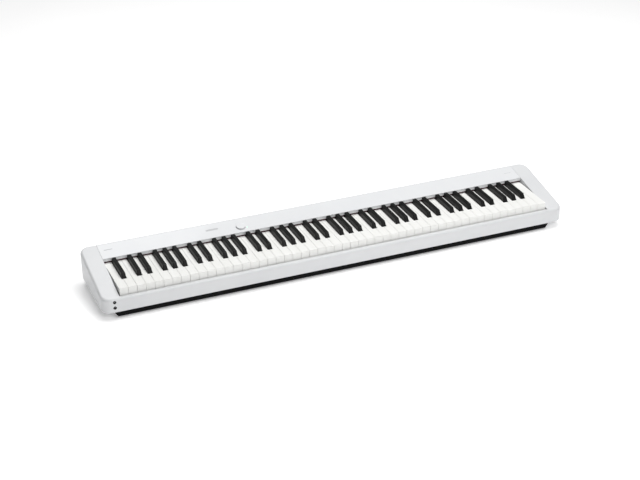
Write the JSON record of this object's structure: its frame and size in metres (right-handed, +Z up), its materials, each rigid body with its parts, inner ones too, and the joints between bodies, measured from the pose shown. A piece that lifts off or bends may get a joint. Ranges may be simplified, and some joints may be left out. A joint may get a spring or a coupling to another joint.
{
  "type": "digital piano",
  "caption": "Slim full-size digital piano: white wedge case on a black base, weighted hammer-action keys that press, glossy control panel with volume knob, two headphone sockets on the front.",
  "frame": {"origin": "on the floor under the middle of the case", "axes": "+X to the treble end, +Y from the player to the back, +Z up"},
  "size_m": [1.322, 0.232, 0.1015],
  "materials": {
    "case_white": "fine satin texture",
    "base_black": "fine matt texture",
    "panel_white": "polished",
    "felt_red": "pressed felt",
    "felt_grey": "pressed felt",
    "circuit_board": "solder resist",
    "knob_white": "satin gloss",
    "button_grey": "satin",
    "lamp_green": "clear, tinted",
    "connector_black": "moulded",
    "connector_steel": "plated",
    "resin_grey": "moulded",
    "cone_black": "pressed pulp",
    "rod_steel": "ground",
    "hammer_steel": "plated",
    "screw_steel": "zinc plated",
    "contact_nickel": "nickel plated",
    "insert_brass": "turned",
    "foot_rubber": "moulded",
    "dome_rubber": "silicone",
    "key_white": "fine matt grain",
    "key_black": "fine matt grain"
  },
  "bodies": {
    "case": {"bass_end_block": "case_white", "treble_end_block": "case_white", "front_rail": "case_white", "back_wall": "case_white", "socket_plate": "case_white", "lower_case": "base_black", "top_panel": "panel_white", "key_slip_felt": "felt_red", "touch_board": "circuit_board", "volume_pot": "connector_steel", "power_switch": "connector_black", "status_lamp": "lamp_green", "phones_jacks": "connector_black", "socket_boards": "circuit_board", "line_jacks": "connector_black", "pedal_unit_socket": "connector_black", "usb_socket": "connector_steel", "dc_inlet": "connector_black", "main_board": "circuit_board", "speaker_baskets": "resin_grey", "speaker_cones": "cone_black", "speaker_magnets": "connector_steel", "speaker_grilles": "base_black", "key_chassis": "resin_grey", "action_rods": "rod_steel", "action_felts": "felt_grey", "contact_boards": "circuit_board", "contact_domes": "dome_rubber", "battery_contacts": "contact_nickel", "rubber_feet": "foot_rubber", "case_screws": "screw_steel", "chassis_screws": "screw_steel", "stand_inserts": "insert_brass"},
    "keys_c": {"keys_c": "key_white"},
    "hammers_c": {"hammers_c": "hammer_steel"},
    "keys_cs": {"keys_cs": "key_black"},
    "hammers_cs": {"hammers_cs": "hammer_steel"},
    "keys_d": {"keys_d": "key_white"},
    "hammers_d": {"hammers_d": "hammer_steel"},
    "keys_ds": {"keys_ds": "key_black"},
    "hammers_ds": {"hammers_ds": "hammer_steel"},
    "keys_e": {"keys_e": "key_white"},
    "hammers_e": {"hammers_e": "hammer_steel"},
    "keys_f": {"keys_f": "key_white"},
    "hammers_f": {"hammers_f": "hammer_steel"},
    "keys_fs": {"keys_fs": "key_black"},
    "hammers_fs": {"hammers_fs": "hammer_steel"},
    "keys_g": {"keys_g": "key_white"},
    "hammers_g": {"hammers_g": "hammer_steel"},
    "keys_gs": {"keys_gs": "key_black"},
    "hammers_gs": {"hammers_gs": "hammer_steel"},
    "keys_a": {"keys_a": "key_white"},
    "hammers_a": {"hammers_a": "hammer_steel"},
    "keys_as": {"keys_as": "key_black"},
    "hammers_as": {"hammers_as": "hammer_steel"},
    "keys_b": {"keys_b": "key_white"},
    "hammers_b": {"hammers_b": "hammer_steel"},
    "volume_knob": {"volume_knob": "knob_white"},
    "power_button": {"power_button": "button_grey"},
    "battery_cover": {"battery_cover": "base_black"}
  },
  "joints": [
    {"name": "key_c_press", "type": "hinge", "parent": "case", "child": "keys_c", "pos_m": [0, 0.078, 0.065], "axis": [1, 0, 0], "range_deg": [0, 3.18], "stiffness_Nm_per_rad": 2.4, "springref_deg": -6.88},
    {"name": "hammer_c_swing", "type": "hinge", "parent": "case", "child": "hammers_c", "pos_m": [0, -0.01, 0.04], "axis": [1, 0, 0], "range_deg": [0, 13.6]},
    {"name": "key_cs_press", "type": "hinge", "parent": "case", "child": "keys_cs", "pos_m": [0, 0.078, 0.065], "axis": [1, 0, 0], "range_deg": [0, 3.18], "stiffness_Nm_per_rad": 2.1, "springref_deg": -6.88},
    {"name": "hammer_cs_swing", "type": "hinge", "parent": "case", "child": "hammers_cs", "pos_m": [0, -0.01, 0.04], "axis": [1, 0, 0], "range_deg": [0, 13.6]},
    {"name": "key_d_press", "type": "hinge", "parent": "case", "child": "keys_d", "pos_m": [0, 0.078, 0.065], "axis": [1, 0, 0], "range_deg": [0, 3.18], "stiffness_Nm_per_rad": 2.1, "springref_deg": -6.88},
    {"name": "hammer_d_swing", "type": "hinge", "parent": "case", "child": "hammers_d", "pos_m": [0, -0.01, 0.04], "axis": [1, 0, 0], "range_deg": [0, 13.6]},
    {"name": "key_ds_press", "type": "hinge", "parent": "case", "child": "keys_ds", "pos_m": [0, 0.078, 0.065], "axis": [1, 0, 0], "range_deg": [0, 3.18], "stiffness_Nm_per_rad": 2.1, "springref_deg": -6.88},
    {"name": "hammer_ds_swing", "type": "hinge", "parent": "case", "child": "hammers_ds", "pos_m": [0, -0.01, 0.04], "axis": [1, 0, 0], "range_deg": [0, 13.6]},
    {"name": "key_e_press", "type": "hinge", "parent": "case", "child": "keys_e", "pos_m": [0, 0.078, 0.065], "axis": [1, 0, 0], "range_deg": [0, 3.18], "stiffness_Nm_per_rad": 2.1, "springref_deg": -6.88},
    {"name": "hammer_e_swing", "type": "hinge", "parent": "case", "child": "hammers_e", "pos_m": [0, -0.01, 0.04], "axis": [1, 0, 0], "range_deg": [0, 13.6]},
    {"name": "key_f_press", "type": "hinge", "parent": "case", "child": "keys_f", "pos_m": [0, 0.078, 0.065], "axis": [1, 0, 0], "range_deg": [0, 3.18], "stiffness_Nm_per_rad": 2.1, "springref_deg": -6.88},
    {"name": "hammer_f_swing", "type": "hinge", "parent": "case", "child": "hammers_f", "pos_m": [0, -0.01, 0.04], "axis": [1, 0, 0], "range_deg": [0, 13.6]},
    {"name": "key_fs_press", "type": "hinge", "parent": "case", "child": "keys_fs", "pos_m": [0, 0.078, 0.065], "axis": [1, 0, 0], "range_deg": [0, 3.18], "stiffness_Nm_per_rad": 2.1, "springref_deg": -6.88},
    {"name": "hammer_fs_swing", "type": "hinge", "parent": "case", "child": "hammers_fs", "pos_m": [0, -0.01, 0.04], "axis": [1, 0, 0], "range_deg": [0, 13.6]},
    {"name": "key_g_press", "type": "hinge", "parent": "case", "child": "keys_g", "pos_m": [0, 0.078, 0.065], "axis": [1, 0, 0], "range_deg": [0, 3.18], "stiffness_Nm_per_rad": 2.1, "springref_deg": -6.88},
    {"name": "hammer_g_swing", "type": "hinge", "parent": "case", "child": "hammers_g", "pos_m": [0, -0.01, 0.04], "axis": [1, 0, 0], "range_deg": [0, 13.6]},
    {"name": "key_gs_press", "type": "hinge", "parent": "case", "child": "keys_gs", "pos_m": [0, 0.078, 0.065], "axis": [1, 0, 0], "range_deg": [0, 3.18], "stiffness_Nm_per_rad": 2.1, "springref_deg": -6.88},
    {"name": "hammer_gs_swing", "type": "hinge", "parent": "case", "child": "hammers_gs", "pos_m": [0, -0.01, 0.04], "axis": [1, 0, 0], "range_deg": [0, 13.6]},
    {"name": "key_a_press", "type": "hinge", "parent": "case", "child": "keys_a", "pos_m": [0, 0.078, 0.065], "axis": [1, 0, 0], "range_deg": [0, 3.18], "stiffness_Nm_per_rad": 2.4, "springref_deg": -6.88},
    {"name": "hammer_a_swing", "type": "hinge", "parent": "case", "child": "hammers_a", "pos_m": [0, -0.01, 0.04], "axis": [1, 0, 0], "range_deg": [0, 13.6]},
    {"name": "key_as_press", "type": "hinge", "parent": "case", "child": "keys_as", "pos_m": [0, 0.078, 0.065], "axis": [1, 0, 0], "range_deg": [0, 3.18], "stiffness_Nm_per_rad": 2.4, "springref_deg": -6.88},
    {"name": "hammer_as_swing", "type": "hinge", "parent": "case", "child": "hammers_as", "pos_m": [0, -0.01, 0.04], "axis": [1, 0, 0], "range_deg": [0, 13.6]},
    {"name": "key_b_press", "type": "hinge", "parent": "case", "child": "keys_b", "pos_m": [0, 0.078, 0.065], "axis": [1, 0, 0], "range_deg": [0, 3.18], "stiffness_Nm_per_rad": 2.4, "springref_deg": -6.88},
    {"name": "hammer_b_swing", "type": "hinge", "parent": "case", "child": "hammers_b", "pos_m": [0, -0.01, 0.04], "axis": [1, 0, 0], "range_deg": [0, 13.6]},
    {"name": "volume_turn", "type": "hinge", "parent": "case", "child": "volume_knob", "pos_m": [-0.224, 0.072, 0.09392], "axis": [0, -0.1977, 0.9803], "range_deg": [-140, 140]},
    {"name": "power_press", "type": "slide", "parent": "case", "child": "power_button", "axis": [0, 0.1977, -0.9803], "range_m": [0, 0.001], "stiffness_N_per_m": 800, "springref_m": -0.001},
    {"name": "battery_cover_off", "type": "slide", "parent": "case", "child": "battery_cover", "axis": [0, 0, -1], "range_m": [0, 0.03]}
  ],
  "couplings": [
    {"joint": "hammer_c_swing", "follows": "key_c_press", "ratio": 4.25},
    {"joint": "hammer_cs_swing", "follows": "key_cs_press", "ratio": 4.25},
    {"joint": "hammer_d_swing", "follows": "key_d_press", "ratio": 4.25},
    {"joint": "hammer_ds_swing", "follows": "key_ds_press", "ratio": 4.25},
    {"joint": "hammer_e_swing", "follows": "key_e_press", "ratio": 4.25},
    {"joint": "hammer_f_swing", "follows": "key_f_press", "ratio": 4.25},
    {"joint": "hammer_fs_swing", "follows": "key_fs_press", "ratio": 4.25},
    {"joint": "hammer_g_swing", "follows": "key_g_press", "ratio": 4.25},
    {"joint": "hammer_gs_swing", "follows": "key_gs_press", "ratio": 4.25},
    {"joint": "hammer_a_swing", "follows": "key_a_press", "ratio": 4.25},
    {"joint": "hammer_as_swing", "follows": "key_as_press", "ratio": 4.25},
    {"joint": "hammer_b_swing", "follows": "key_b_press", "ratio": 4.25}
  ]
}
